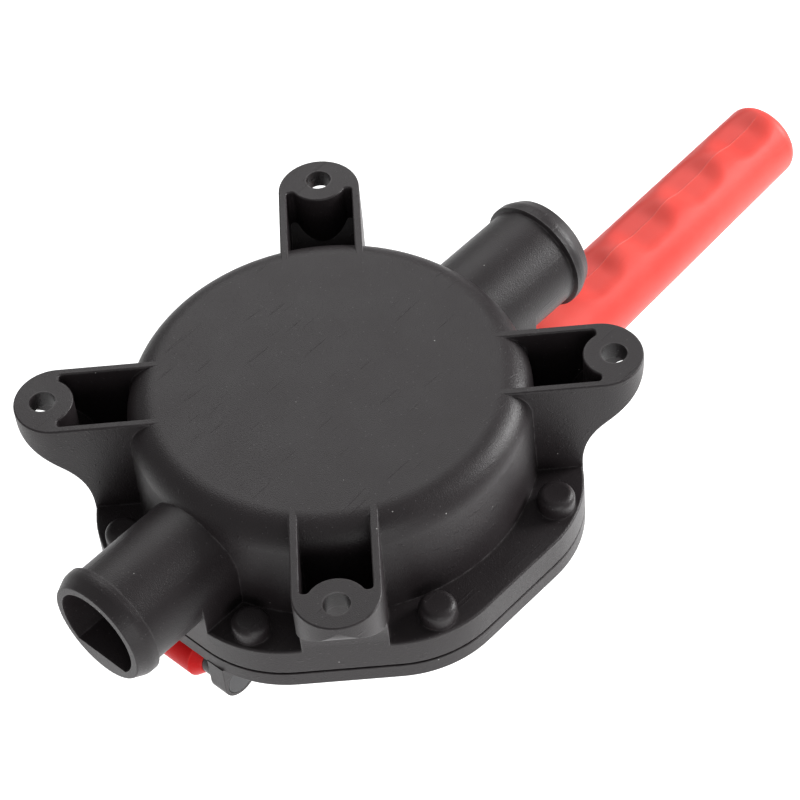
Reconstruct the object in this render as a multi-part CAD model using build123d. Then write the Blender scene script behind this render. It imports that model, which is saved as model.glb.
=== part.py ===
from build123d import *
from math import atan, cos, degrees, radians, sin, sqrt, tan
import os

# Manual diaphragm bilge pump for a bulkhead, in millimetres.
# The origin is the centre of the four mounting holes, on the flat back that meets the bulkhead.
# +Z points out of that back, so the whole pump hangs below z = 0. +X runs along the two hose
# barbs, from the inlet to the outlet, and the lever hinges about Y under the inlet barb.

# ---- driving dimensions ------------------------------------------------------------------

# mounting ears
HOLE_SPACING = 133.8
HOLE_R = 4.4
EAR_HALF_WIDTH = 14.2
EAR_WALL = 2.7
EAR_TIP_BEYOND_HOLE = 9.8
EAR_TIP_DEPTH = 2.5
HOLE_BOSS_R = 10.3
HOLE_SEAT_DEPTH = 7.0
HOLE_SEAT_R = 8.2
POCKET_SHORT_OF_HOLE = 5.1
POCKET_CORNER_R = 1.2
EAR_EDGE_ROUND = 0.6
SWEEP_TURN = 0.36
POCKET_FLOOR_RISE = 1.5

# bowl
BOWL_R = 67.5
BOWL_DRAFT = 1.0
BOWL_ROUND = 10.6
BOWL_WALL = 3.5

# flange and clamp ring
FLANGE_APOTHEM = 82.3
FLANGE_CORNER_R = 41.0
FLANGE_TOP = -39.0
PARTING_Z = -50.4
PARTING_GAP = 0.8
RING_THICKNESS = 6.3
EDGE_ROUND = 0.8
PARTING_EDGE_ROUND = 0.4

# clamp screws and their blind bosses, two on each straight side that faces X or Y
SCREW_ALONG = 72.3
SCREW_ACROSS = 29.5
SCREW_BOSS_R = 6.3
SCREW_BOSS_HEIGHT = 6.5
SCREW_BOSS_ROUND = 2.4
SCREW_R = 2.4
SCREW_HEAD_R = 4.4
SCREW_HEAD_HEIGHT = 2.8
SCREW_HOLE_R = 2.75
SCREW_ROOF = 3.0

# hose barbs
BARB_Z = -25.7
BARB_R = 19.0
BARB_BORE_R = 15.7
BARB_BORE_FLOOR = 11.3
BARB_END = 111.2
BEAD_R = 20.6
BEAD_START = 102.8
BEAD_LAND = 3.6
BEAD_ROUND = 5.0
BEAD_LIP_R = 18.4
LIP_ROUND = 0.6

# ports inside the bowl, and their flap valves
PORT_FACE = 60.0
PORT_R = 20.5
PORT_FLOOR = 14.8
SEAT_PLATE = 2.5
SEAT_OPENING_R = 10.5
SEAT_OPENING_TOP = 5.0
SEAT_OPENING_FLOOR = 7.5
SEAT_SCREW_CIRCLE_R = 18.1
SEAT_SCREW_R = 1.2
SEAT_SCREW_LENGTH = 5.0
SEAT_SCREW_HEAD_R = 2.1
SEAT_SCREW_HEAD_HEIGHT = 1.3
FLAP_R = 12.8
FLAP_FLOOR = 9.8
FLAP_SHOULDER = 6.2
FLAP_NECK_HALF = 7.0
FLAP_THICKNESS = 2.0
FLAP_HINGE = 9.6
FLAP_BEAD_R = 1.5
FLAP_BEAD_HALF = 9.2
CLIP_EAR_WIDTH = 1.8
CLIP_DEPTH = 4.8

# diaphragm
RIM_OUTER_R = 73.0
RIM_INNER_R = 62.0
RIM_THICKNESS = 3.0
WEB_THICKNESS = 2.5
CENTRE_Z = -38.0
PLATE_R = 34.0
PLATE_THICKNESS = 4.0
WEB_SAG = 2.5

# pieces clamped to the middle of the diaphragm
CENTRE_BOLT_R = 4.0
BOLT_HEAD_HALF_FLATS = 6.5
BOLT_HEAD_HEIGHT = 5.3
BOLT_GRIP_IN_ROD = 12.0
SEAL_WASHER_R = 9.0
SEAL_WASHER_THICKNESS = 1.6
OUTER_HUB_R = 13.0
OUTER_HUB_DEPTH = 5.0
ROD_HEAD_R = 11.0
ROD_HEAD_THICKNESS = 5.0
ROD_EYE_R = 7.5
ROD_SIDE_PLAY = 0.5
CROSS_PIN_R = 4.0

# lever hinge
PIVOT_X = -75.0
LEVER_UNDER_RING = 0.8
PIVOT_PIN_R = 4.0
PIVOT_HEAD_R = 6.0
PIVOT_HEAD_HEIGHT = 2.0
LUG_R = 7.5
LUG_THICKNESS = 7.3
LUG_INNER = 16.0
BUSH_WALL = 1.5
BUSH_LENGTH = 7.0
SPACER_WALL = 1.65
OUTWARD_SWING = 24.0
INWARD_SWING = 3.0

# lever, a bevelled bar from the pivot to the grip
LEVER_HALF_WIDTH = 10.1
LEVER_HALF_HEIGHT = 9.1
LEVER_BEVEL = 3.2
LEVER_WALL = 3.5
LEVER_NECK_BEFORE_GRIP = 3.0
CHANNEL_START = 16.0
CHANNEL_BEFORE_NECK = 22.0
WINDOW_MARGIN = 3.0
SHOULDER_R = 14.5
SHOULDER_THICKNESS = 3.6
STUB_R = 12.4
STUB_BORE_R = 8.0
STUB_LENGTH = 86.0
RIB_THICKNESS = 3.0

# handle grip, measured along its own axis from the lever end
GRIP_START_X = 92.0
GRIP_START_Z = -75.9
GRIP_TILT = 3.3
GRIP_LENGTH = 149.0
GRIP_R_START = 16.4
GRIP_R_END = 14.8
GRIP_DOME = 1.2
GRIP_END_ROUND = 4.5
GRIP_MOUTH_ROUND = 1.5
DENT_COUNT = 4
DENT_FIRST = 43.0
DENT_PITCH = 29.0
DENT_DEPTH = 3.0
DENT_R = 26.0
GRIP_SCREW_AT = 20.0
GRIP_SCREW_R = 2.0
GRIP_SCREW_HEAD_R = 3.6
GRIP_SCREW_HEAD_HEIGHT = 2.4
GRIP_SCREW_SINK = 2.8

# retaining clips on both pins
CLIP_THICKNESS = 1.0
CLIP_BITE = 0.9
CLIP_R = 6.4
PIN_END_BEYOND_CLIP = 1.2

# ---- clearances ---------------------------------------------------------------------------

RUNNING_FIT = 0.05
PRESS_FIT = 0.02
SIDE_GAP = 0.3
CLIP_PLAY = 0.2
SLOT_PLAY = 0.35
COUNTERSINK_PLAY = 0.25
RUBBER_FIT = 0.1

# ---- derived sizes ------------------------------------------------------------------------

HOLE_RADIAL = HOLE_SPACING / sqrt(2)
EAR_TIP = HOLE_RADIAL + EAR_TIP_BEYOND_HOLE
EAR_CENTRE = EAR_TIP - EAR_HALF_WIDTH
POCKET_HALF = EAR_HALF_WIDTH - EAR_WALL
POCKET_END = HOLE_RADIAL - POCKET_SHORT_OF_HOLE
BODY_BOTTOM = PARTING_Z + PARTING_GAP / 2
RING_TOP = PARTING_Z - PARTING_GAP / 2
RING_BOTTOM = RING_TOP - RING_THICKNESS
RIM_TOP = PARTING_Z + RIM_THICKNESS / 2
RIM_BOTTOM = PARTING_Z - RIM_THICKNESS / 2
BOWL_BOTTOM_R = BOWL_R + BOWL_DRAFT
BOSS_TOP = FLANGE_TOP + SCREW_BOSS_HEIGHT
WEB_TOP = CENTRE_Z + WEB_THICKNESS / 2
WEB_BOTTOM = CENTRE_Z - WEB_THICKNESS / 2
INNER_PLATE_TOP = WEB_TOP + PLATE_THICKNESS
BOLT_HEAD_BASE = INNER_PLATE_TOP + SEAL_WASHER_THICKNESS
OUTER_PLATE_BOTTOM = WEB_BOTTOM - PLATE_THICKNESS
HUB_BOTTOM = OUTER_PLATE_BOTTOM - OUTER_HUB_DEPTH
LEVER_INNER = LEVER_HALF_WIDTH - LEVER_WALL
LUG_OUTER = LUG_INNER + LUG_THICKNESS
PIVOT_Z = RING_BOTTOM - LEVER_UNDER_RING - LEVER_HALF_HEIGHT
BUSH_R = PIVOT_PIN_R + RUNNING_FIT + BUSH_WALL
SPACER_R = PIVOT_PIN_R + RUNNING_FIT + SPACER_WALL
GRIP_SEAT_R = GRIP_R_START - (GRIP_R_START - GRIP_R_END) * GRIP_SCREW_AT / GRIP_LENGTH - GRIP_SCREW_SINK
GROOVE_FRACTION = 1 - CLIP_BITE / PIVOT_PIN_R
CROSS_CLIP_Y = LEVER_HALF_WIDTH + 3 * SIDE_GAP

# The lever's centre line runs from the pivot to the start of the grip.
ARM = -PIVOT_X
SLOPE = atan((PIVOT_Z - GRIP_START_Z) / (GRIP_START_X - PIVOT_X))
NECK = (GRIP_START_X - PIVOT_X) / cos(SLOPE) - LEVER_NECK_BEFORE_GRIP
CROSS_PIN_Z = PIVOT_Z - ARM * tan(SLOPE)

# The rod slides straight while the lever turns, so the cross pin creeps along two slots.
# One constant ratio stands for the true tangent motion; the slots take up the difference.
SWING_OUT = radians(OUTWARD_SWING)
SWING_IN = radians(INWARD_SWING)
FULL_DROP = ARM * (tan(SLOPE + SWING_OUT) - tan(SLOPE))
HALF_DROP = ARM * (tan(SLOPE + SWING_OUT / 2) - tan(SLOPE))
STROKE_PER_RADIAN = (FULL_DROP + HALF_DROP) / (1.5 * SWING_OUT)
STROKE_ERROR = abs(FULL_DROP - STROKE_PER_RADIAN * SWING_OUT)
SLOT_HALF = CROSS_PIN_R + STROKE_ERROR + SLOT_PLAY
SLOT_START = ARM / cos(SLOPE - SWING_IN) - SLOT_PLAY
SLOT_END = ARM / cos(SLOPE + SWING_OUT) + SLOT_PLAY


# ---- helpers ------------------------------------------------------------------------------

def block(x0, x1, y0, y1, z0, z1):
    """A box from its limits."""
    centre = Pos((x0 + x1) / 2, (y0 + y1) / 2, (z0 + z1) / 2)
    return centre * Box(x1 - x0, y1 - y0, z1 - z0)


def rod_x(radius, x0, x1, y=0.0, z=0.0):
    """A round rod along X."""
    return Pos((x0 + x1) / 2, y, z) * Rot(0, 90, 0) * Cylinder(radius, x1 - x0)


def rod_y(radius, y0, y1, x=0.0, z=0.0):
    """A round rod along Y."""
    return Pos(x, (y0 + y1) / 2, z) * Rot(90, 0, 0) * Cylinder(radius, y1 - y0)


def rod_z(radius, z0, z1, x=0.0, y=0.0):
    """A round rod along Z."""
    return Pos(x, y, (z0 + z1) / 2) * Cylinder(radius, z1 - z0)


def side_plate(points, y0, y1):
    """A plate with a straight-sided outline in X and Z, between two Y limits."""
    face = make_face(Plane.XZ * Polyline(*points, close=True))
    return Pos(0, y0, 0) * extrude(face, y1 - y0, dir=(0, 1, 0))


def turned(points):
    """A solid of revolution about Z from an outline of radius and height."""
    return revolve(make_face(Plane.XZ * Polyline(*points, close=True)), Axis.Z)


def octagon(z0, z1, shrink=0.0):
    """The rounded eight-sided outline shared by the flange and the clamp ring."""
    outline = RegularPolygon(FLANGE_APOTHEM - shrink, 8, major_radius=False, rotation=22.5)
    outline = fillet(outline.vertices(), FLANGE_CORNER_R - shrink)
    return Pos(0, 0, z0) * extrude(outline, z1 - z0)


def screw_places():
    """The eight clamp screws: two beside each end of the X and Y axes."""
    places = []
    for sign_a in (1, -1):
        for sign_b in (1, -1):
            places.append((sign_a * SCREW_ALONG, sign_b * SCREW_ACROSS))
            places.append((sign_b * SCREW_ACROSS, sign_a * SCREW_ALONG))
    return places


def retaining_clip(y0, x, z, pin_r):
    """A flat open clip in a pin's groove, with its mouth towards -Z."""
    groove_r = pin_r * GROOVE_FRACTION
    ring = rod_y(CLIP_R, y0, y0 + CLIP_THICKNESS, x, z)
    ring -= rod_y(groove_r + PRESS_FIT, y0, y0 + CLIP_THICKNESS, x, z)
    mouth = block(x - groove_r * 0.8, x + groove_r * 0.8, y0, y0 + CLIP_THICKNESS, z - CLIP_R, z)
    return ring - mouth


def pin_groove(y0, x, z, pin_r):
    """The ring-shaped groove that a retaining clip sits in."""
    y1 = y0 + CLIP_THICKNESS
    return rod_y(pin_r + 1, y0, y1, x, z) - rod_y(pin_r * GROOVE_FRACTION, y0, y1, x, z)


def save(shape, name):
    """Write one sub-part to its own file."""
    if isinstance(shape, (list, ShapeList)):
        shape = Compound(children=list(shape))
    export_step(shape, "parts/" + name + ".step")


# ---- pump body ----------------------------------------------------------------------------

def ear_profile(inset=0.0, rise=0.0):
    """The ear's side view: the outer wall sweeps in from the tip to the flange in one S curve."""
    top = (EAR_TIP - inset, rise - EAR_TIP_DEPTH)
    end = (FLANGE_APOTHEM - inset, FLANGE_TOP + 2 + rise)
    turn = FLANGE_TOP * SWEEP_TURN + rise
    sweep = Bezier(top, (top[0], turn), (end[0], turn), end)
    rest = Polyline(end, (end[0], BODY_BOTTOM), (0, BODY_BOTTOM), (0, 0), (top[0], 0), top)
    profile = make_face(Plane.XZ * Wire([sweep, *rest.edges()]))
    return Pos(0, -EAR_HALF_WIDTH, 0) * extrude(profile, 2 * EAR_HALF_WIDTH, dir=(0, 1, 0))


def ear(angle):
    """One mounting ear: a deep open pocket with a round hole boss at its tip."""
    base = FLANGE_TOP - 2 * EDGE_ROUND
    plan = block(0, EAR_CENTRE, -EAR_HALF_WIDTH, EAR_HALF_WIDTH, base, 0)
    plan += rod_z(EAR_HALF_WIDTH, base, 0, EAR_CENTRE)

    solid = plan & ear_profile()
    # the pocket's end wraps round the hole boss and leaves a narrow horn on each side of it
    pocket = block(0, POCKET_END, -POCKET_HALF, POCKET_HALF, FLANGE_TOP, 0)
    pocket -= rod_z(HOLE_BOSS_R, FLANGE_TOP, 0, HOLE_RADIAL)
    horns = pocket.edges().filter_by(Axis.Z).group_by(Axis.X)[-1]
    pocket = fillet(horns, POCKET_CORNER_R)
    solid -= pocket & ear_profile(EAR_WALL, POCKET_FLOOR_RISE)
    solid = fillet(solid.edges().group_by(Axis.Z)[-1], EAR_EDGE_ROUND)
    solid -= rod_z(HOLE_R, BODY_BOTTOM, 0, HOLE_RADIAL)
    solid -= rod_z(HOLE_SEAT_R, BODY_BOTTOM, -HOLE_SEAT_DEPTH, HOLE_RADIAL)
    return Rot(0, 0, angle) * solid


def barb(side):
    """One hose tail along X, from the bowl to its beaded mouth, with its web down to the flange."""
    tail = turned([
        (0, 0), (BARB_R, 0), (BARB_R, BEAD_START), (BEAD_R, BEAD_START + 0.6),
        (BEAD_R, BEAD_START + BEAD_LAND), (BEAD_LIP_R, BARB_END), (0, BARB_END)])
    tail = fillet(tail.edges().filter_by(GeomType.CIRCLE).group_by(Axis.Z)[-2], BEAD_ROUND)
    tail = fillet(tail.edges().group_by(Axis.Z)[-1], LIP_ROUND)
    web = block(0, FLANGE_APOTHEM, -BARB_R, BARB_R, FLANGE_TOP - 2, BARB_Z)
    solid = Pos(0, 0, BARB_Z) * Rot(0, 90, 0) * tail + web
    return Rot(0, 0, 0 if side > 0 else 180) * solid


def port_section(radius, floor, x0, x1):
    """A round section along X with its bottom cut flat at a depth below the barb axis."""
    disc = rod_x(radius, x0, x1, 0, BARB_Z)
    return disc & block(x0, x1, -radius, radius, BARB_Z - floor, BARB_Z + radius)


def pump_body():
    """The one-piece moulding: bowl, flange, ears, barbs, screw bosses and valve ports."""
    bowl = turned([(0, 0), (BOWL_R, 0), (BOWL_BOTTOM_R, FLANGE_TOP - 2), (0, FLANGE_TOP - 2)])
    bowl = fillet(bowl.edges().group_by(Axis.Z)[-1], BOWL_ROUND)

    flange = octagon(BODY_BOTTOM, FLANGE_TOP)
    flange = fillet(flange.edges().group_by(Axis.Z)[-1], EDGE_ROUND)
    flange = fillet(flange.edges().group_by(Axis.Z)[0], PARTING_EDGE_ROUND)

    body = flange
    for quarter in range(4):
        body += ear(45 + 90 * quarter)
    body += bowl
    for side in (1, -1):
        body += barb(side)
    for x, y in screw_places():
        boss = rod_z(SCREW_BOSS_R, FLANGE_TOP - 1, BOSS_TOP, x, y)
        body += fillet(boss.edges().group_by(Axis.Z)[-1], SCREW_BOSS_ROUND)

    cavity = turned([
        (0, -BOWL_WALL), (BOWL_R - BOWL_WALL, -BOWL_WALL),
        (BOWL_BOTTOM_R - BOWL_WALL, BODY_BOTTOM), (0, BODY_BOTTOM)])
    cavity = fillet(cavity.edges().group_by(Axis.Z)[-1], BOWL_ROUND - BOWL_WALL)
    body -= cavity
    body -= rod_z(RIM_OUTER_R + RUBBER_FIT, BODY_BOTTOM, RIM_TOP)

    for side in (1, -1):
        near, far = sorted((side * PORT_FACE, side * BOWL_R))
        collar = port_section(PORT_R, PORT_FLOOR, near, far)
        inside_wall = BOWL_R - BOWL_WALL / 2
        body += collar & rod_z(inside_wall, BODY_BOTTOM, 0)
        near, far = sorted((side * PORT_FACE, side * BARB_END))
        body -= port_section(BARB_BORE_R, BARB_BORE_FLOOR, near, far)
        for y, z in seat_screw_places():
            near, far = sorted((side * PORT_FACE, side * (PORT_FACE + SEAT_SCREW_LENGTH)))
            body -= rod_x(SEAT_SCREW_R + PRESS_FIT, near, far, y, z)
    for x, y in screw_places():
        body -= rod_z(SCREW_R + PRESS_FIT, BODY_BOTTOM, BOSS_TOP - SCREW_ROOF, x, y)
    return body


# ---- clamp ring and its screws ------------------------------------------------------------

def lug(side):
    """One pivot lug under the clamp ring; the -Y one has a recess for the pin's head."""
    y0, y1 = sorted((side * LUG_INNER, side * LUG_OUTER))
    plate = rod_y(LUG_R, y0, y1, PIVOT_X, PIVOT_Z)
    plate += block(PIVOT_X - LUG_R, PIVOT_X + LUG_R, y0, y1, PIVOT_Z, RING_BOTTOM + 1)
    plate -= rod_y(PIVOT_PIN_R + RUNNING_FIT, y0, y1, PIVOT_X, PIVOT_Z)
    if side < 0:
        plate -= rod_y(PIVOT_HEAD_R + COUNTERSINK_PLAY, y0, y0 + PIVOT_HEAD_HEIGHT, PIVOT_X, PIVOT_Z)
    plate = fillet(plate.edges().group_by(Axis.Z)[0], EDGE_ROUND * 0.5)
    return plate


def clamp_ring():
    """The ring that squeezes the diaphragm's rim and carries the lever hinge."""
    ring = octagon(RING_BOTTOM, RING_TOP)
    ring = fillet(ring.edges().group_by(Axis.Z)[0], EDGE_ROUND)
    ring = fillet(ring.edges().group_by(Axis.Z)[-1], PARTING_EDGE_ROUND)
    ring -= rod_z(RIM_INNER_R, RING_BOTTOM, RING_TOP)
    ring -= rod_z(RIM_OUTER_R + RUBBER_FIT, RIM_BOTTOM, RING_TOP)
    for side in (1, -1):
        ring += lug(side)
    for x, y in screw_places():
        ring -= rod_z(SCREW_HOLE_R, RING_BOTTOM, RING_TOP, x, y)
    return ring


def clamp_screw(x, y):
    """A pan-head self-tapping screw with a cross recess, driven from below."""
    head = rod_z(SCREW_HEAD_R, RING_BOTTOM - SCREW_HEAD_HEIGHT, RING_BOTTOM, x, y)
    head = fillet(head.edges().group_by(Axis.Z)[0], SCREW_HEAD_HEIGHT * 0.45)
    arm = SCREW_HEAD_R * 0.55
    base = RING_BOTTOM - SCREW_HEAD_HEIGHT
    for half_x, half_y in ((arm, arm / 4), (arm / 4, arm)):
        head -= block(
            x - half_x, x + half_x, y - half_y, y + half_y, base, base + SCREW_HEAD_HEIGHT * 0.6)
    return head + rod_z(SCREW_R, RING_BOTTOM, BOSS_TOP - SCREW_ROOF - 1, x, y)


# ---- valves -------------------------------------------------------------------------------

def seat_screw_places():
    """Three screws round each port: one above, two low at the sides."""
    places = []
    for angle in (90, 210, 330):
        y = SEAT_SCREW_CIRCLE_R * cos(radians(angle))
        z = BARB_Z + SEAT_SCREW_CIRCLE_R * sin(radians(angle))
        places.append((y, z))
    return places


def valve_seat(x0):
    """A flat plate with a D-shaped opening, screwed to the port's face."""
    x1 = x0 + SEAT_PLATE
    plate = port_section(PORT_R, PORT_FLOOR, x0, x1)
    opening = rod_x(SEAT_OPENING_R, x0, x1, 0, BARB_Z)
    opening &= block(
        x0, x1, -SEAT_OPENING_R, SEAT_OPENING_R,
        BARB_Z - SEAT_OPENING_FLOOR, BARB_Z + SEAT_OPENING_TOP)
    plate -= opening
    for y, z in seat_screw_places():
        plate -= rod_x(SEAT_SCREW_R + RUNNING_FIT, x0, x1, y, z)
    return plate


def valve_screws(plate_face, side):
    """Three small screws with round heads on the chamber side of the seat plate."""
    screws = []
    for y, z in seat_screw_places():
        near, far = sorted((plate_face, plate_face - side * SEAT_SCREW_HEAD_HEIGHT))
        head = rod_x(SEAT_SCREW_HEAD_R, near, far, y, z)
        near, far = sorted((plate_face, plate_face + side * (SEAT_PLATE + SEAT_SCREW_LENGTH - 1)))
        screws.append(head + rod_x(SEAT_SCREW_R, near, far, y, z))
    return screws


def flap(seat_face):
    """A rubber flap that hangs from a round bead and opens towards +X."""
    x0 = seat_face + SIDE_GAP
    x1 = x0 + FLAP_THICKNESS
    hinge_z = BARB_Z + FLAP_HINGE
    leaf = rod_x(FLAP_R, x0, x1, 0, BARB_Z)
    leaf &= block(x0, x1, -FLAP_R, FLAP_R, BARB_Z - FLAP_FLOOR, BARB_Z + FLAP_SHOULDER)
    leaf += block(x0, x1, -FLAP_NECK_HALF, FLAP_NECK_HALF, BARB_Z, hinge_z)
    leaf += rod_y(FLAP_BEAD_R, -FLAP_BEAD_HALF, FLAP_BEAD_HALF, x0 + FLAP_BEAD_R, hinge_z)
    return leaf


def flap_clip(seat_face):
    """A bridge with two eyes that hold the ends of the flap's bead against the seat."""
    hinge_x = seat_face + SIDE_GAP + FLAP_BEAD_R
    hinge_z = BARB_Z + FLAP_HINGE
    outer = FLAP_BEAD_HALF + SIDE_GAP
    inner = outer - CLIP_EAR_WIDTH
    reach = FLAP_BEAD_R + SIDE_GAP
    top = hinge_z + reach + CLIP_THICKNESS
    clip = block(seat_face, seat_face + CLIP_DEPTH, -outer, outer, hinge_z - reach, top)
    clip -= block(seat_face, seat_face + CLIP_DEPTH, -inner, inner, hinge_z - reach, hinge_z + reach)
    clip -= block(seat_face, hinge_x, -outer, outer, hinge_z - reach, hinge_z + reach)
    return clip - rod_y(reach, -outer, outer, hinge_x, hinge_z)


# ---- diaphragm and the pieces clamped to it -------------------------------------------------

def diaphragm():
    """The rubber diaphragm at rest: a flat rim, a rolling skirt and a flat middle."""
    mid_r = (PLATE_R + RIM_INNER_R) / 2
    mid_z = (CENTRE_Z + PARTING_Z) / 2 - WEB_SAG
    half = WEB_THICKNESS / 2
    skirt_top = Spline((PLATE_R + 2, WEB_TOP), (mid_r, mid_z + half), (RIM_INNER_R + 1, RIM_TOP))
    skirt_bottom = Spline(
        (RIM_INNER_R - 1, RIM_BOTTOM), (mid_r, mid_z - half), (PLATE_R + 2, WEB_BOTTOM))
    bore = CENTRE_BOLT_R + RUNNING_FIT
    rim = Polyline(
        (RIM_INNER_R + 1, RIM_TOP), (RIM_OUTER_R, RIM_TOP),
        (RIM_OUTER_R, RIM_BOTTOM), (RIM_INNER_R - 1, RIM_BOTTOM))
    middle = Polyline(
        (PLATE_R + 2, WEB_BOTTOM), (bore, WEB_BOTTOM), (bore, WEB_TOP), (PLATE_R + 2, WEB_TOP))
    outline = Wire([skirt_top, *rim.edges(), skirt_bottom, *middle.edges()])
    return revolve(make_face(Plane.XZ * outline), Axis.Z)


def inner_plate():
    """The wet-side plate, with a rounded edge so that it can't cut the rubber."""
    plate = rod_z(PLATE_R, WEB_TOP, INNER_PLATE_TOP)
    plate = fillet(plate.edges().group_by(Axis.Z)[0], PLATE_THICKNESS * 0.4)
    return plate - rod_z(CENTRE_BOLT_R + RUNNING_FIT, WEB_TOP, INNER_PLATE_TOP)


def outer_plate():
    """The dry-side plate, with a hub and six ribs."""
    plate = rod_z(PLATE_R, OUTER_PLATE_BOTTOM, WEB_BOTTOM)
    plate = fillet(plate.edges().group_by(Axis.Z)[-1], PLATE_THICKNESS * 0.4)
    plate += rod_z(OUTER_HUB_R, HUB_BOTTOM, OUTER_PLATE_BOTTOM)
    for index in range(6):
        rib = side_plate([
            (0, OUTER_PLATE_BOTTOM + 1), (PLATE_R - 3, OUTER_PLATE_BOTTOM + 1),
            (PLATE_R - 3, OUTER_PLATE_BOTTOM), (OUTER_HUB_R, HUB_BOTTOM), (0, HUB_BOTTOM)],
            -RIB_THICKNESS / 2, RIB_THICKNESS / 2)
        plate += Rot(0, 0, 60 * index + 30) * rib
    return plate - rod_z(CENTRE_BOLT_R + RUNNING_FIT, HUB_BOTTOM, WEB_BOTTOM)


def centre_bolt():
    """The hexagon bolt that clamps the stack to the pull rod."""
    head = RegularPolygon(BOLT_HEAD_HALF_FLATS, 6, major_radius=False)
    bolt = Pos(0, 0, BOLT_HEAD_BASE) * extrude(head, BOLT_HEAD_HEIGHT)
    return bolt + rod_z(CENTRE_BOLT_R, HUB_BOTTOM - BOLT_GRIP_IN_ROD, BOLT_HEAD_BASE)


def pull_rod():
    """A round head bolted under the hub, and a flat tongue with an eye for the cross pin."""
    head_bottom = HUB_BOTTOM - ROD_HEAD_THICKNESS
    half = LEVER_INNER - ROD_SIDE_PLAY
    rod = rod_z(ROD_HEAD_R, head_bottom, HUB_BOTTOM)
    rod = fillet(rod.edges().group_by(Axis.Z)[0], EDGE_ROUND)
    rod += block(-ROD_EYE_R, ROD_EYE_R, -half, half, CROSS_PIN_Z, head_bottom + 1)
    rod += rod_y(ROD_EYE_R, -half, half, 0, CROSS_PIN_Z)
    rod -= rod_z(CENTRE_BOLT_R + PRESS_FIT, HUB_BOTTOM - BOLT_GRIP_IN_ROD - 1, HUB_BOTTOM)
    return rod - rod_y(CROSS_PIN_R + PRESS_FIT, -half, half, 0, CROSS_PIN_Z)


def cross_pin():
    """The pin through the rod's eye and both lever slots, with a clip groove near each end."""
    end = CROSS_CLIP_Y + CLIP_THICKNESS + PIN_END_BEYOND_CLIP
    pin = rod_y(CROSS_PIN_R, -end, end, 0, CROSS_PIN_Z)
    for y in (CROSS_CLIP_Y, -CROSS_CLIP_Y - CLIP_THICKNESS):
        pin -= pin_groove(y, 0, CROSS_PIN_Z, CROSS_PIN_R)
    return pin


# ---- lever --------------------------------------------------------------------------------

def lever_frame():
    """Local X runs along the lever's centre line from the pivot, local Z across it."""
    return Pos(PIVOT_X, 0, PIVOT_Z) * Rot(0, degrees(SLOPE), 0)


def handle_frame():
    """Local Z runs out along the grip; local +X faces away from the bulkhead."""
    return Pos(GRIP_START_X, 0, GRIP_START_Z) * Rot(0, 90 - GRIP_TILT, 0)


def bevelled_bar():
    """The solid bar: a round tail on the pivot and bevels along every long edge."""
    bar = block(0, NECK, -LEVER_HALF_WIDTH, LEVER_HALF_WIDTH, -LEVER_HALF_HEIGHT, LEVER_HALF_HEIGHT)
    bar += rod_y(LEVER_HALF_HEIGHT, -LEVER_HALF_WIDTH, LEVER_HALF_WIDTH)
    side_edges = ShapeList()
    for group in (bar.faces().group_by(Axis.Y)[0], bar.faces().group_by(Axis.Y)[-1]):
        side_edges += group.edges().filter_by(lambda edge: edge.center().X < NECK - 1)
    return chamfer(side_edges, LEVER_BEVEL)


def lever():
    """The bar with its open channel, the window and slots for the pull rod, and the grip's stub."""
    shape = bevelled_bar()
    floor = LEVER_WALL - LEVER_HALF_HEIGHT
    channel_end = NECK - CHANNEL_BEFORE_NECK
    channel = block(
        CHANNEL_START, channel_end, -LEVER_INNER, LEVER_INNER, floor, LEVER_HALF_HEIGHT)
    shape -= fillet(channel.edges().filter_by(Axis.Z), LEVER_BEVEL)
    middle = (SLOT_START + SLOT_END) / 2
    for x in ((CHANNEL_START + middle) / 2, (middle + channel_end) / 2):
        shape += block(x, x + RIB_THICKNESS, -LEVER_INNER - 1, LEVER_INNER + 1, floor - 1, 0)

    # the rod's eye hangs through a window, and its pin runs in a slot through each wall
    reach = ROD_EYE_R + WINDOW_MARGIN
    shape -= block(
        SLOT_START - reach, SLOT_END + reach, -LEVER_INNER, LEVER_INNER,
        -LEVER_HALF_HEIGHT, LEVER_HALF_HEIGHT)
    slot = block(SLOT_START, SLOT_END, -LEVER_HALF_WIDTH, LEVER_HALF_WIDTH, -SLOT_HALF, SLOT_HALF)
    for x in (SLOT_START, SLOT_END):
        slot += rod_y(SLOT_HALF, -LEVER_HALF_WIDTH, LEVER_HALF_WIDTH, x)
    shape -= slot
    shape -= rod_y(BUSH_R + PRESS_FIT, -LEVER_HALF_WIDTH, LEVER_HALF_WIDTH)
    shape = lever_frame() * shape

    shoulder = Pos(0, 0, -SHOULDER_THICKNESS / 2 - SIDE_GAP) * Cylinder(SHOULDER_R, SHOULDER_THICKNESS)
    stub = Pos(0, 0, STUB_LENGTH / 2 - 1) * Cylinder(STUB_R, STUB_LENGTH + 2)
    stub += fillet(shoulder.edges().filter_by(GeomType.CIRCLE), EDGE_ROUND)
    stub -= Pos(0, 0, STUB_LENGTH / 2 + 1) * Cylinder(STUB_BORE_R, STUB_LENGTH - 2)
    screw_path = Pos(STUB_R / 2, 0, GRIP_SCREW_AT) * Rot(0, 90, 0)
    stub -= screw_path * Cylinder(GRIP_SCREW_R + PRESS_FIT, STUB_R)
    return shape + handle_frame() * stub


def pivot_bush(side):
    """A plain sleeve pressed into one side of the lever."""
    y0, y1 = sorted((side * (LEVER_HALF_WIDTH - BUSH_LENGTH), side * LEVER_HALF_WIDTH))
    sleeve = rod_y(BUSH_R, y0, y1, PIVOT_X, PIVOT_Z)
    return sleeve - rod_y(PIVOT_PIN_R + RUNNING_FIT, y0, y1, PIVOT_X, PIVOT_Z)


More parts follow.
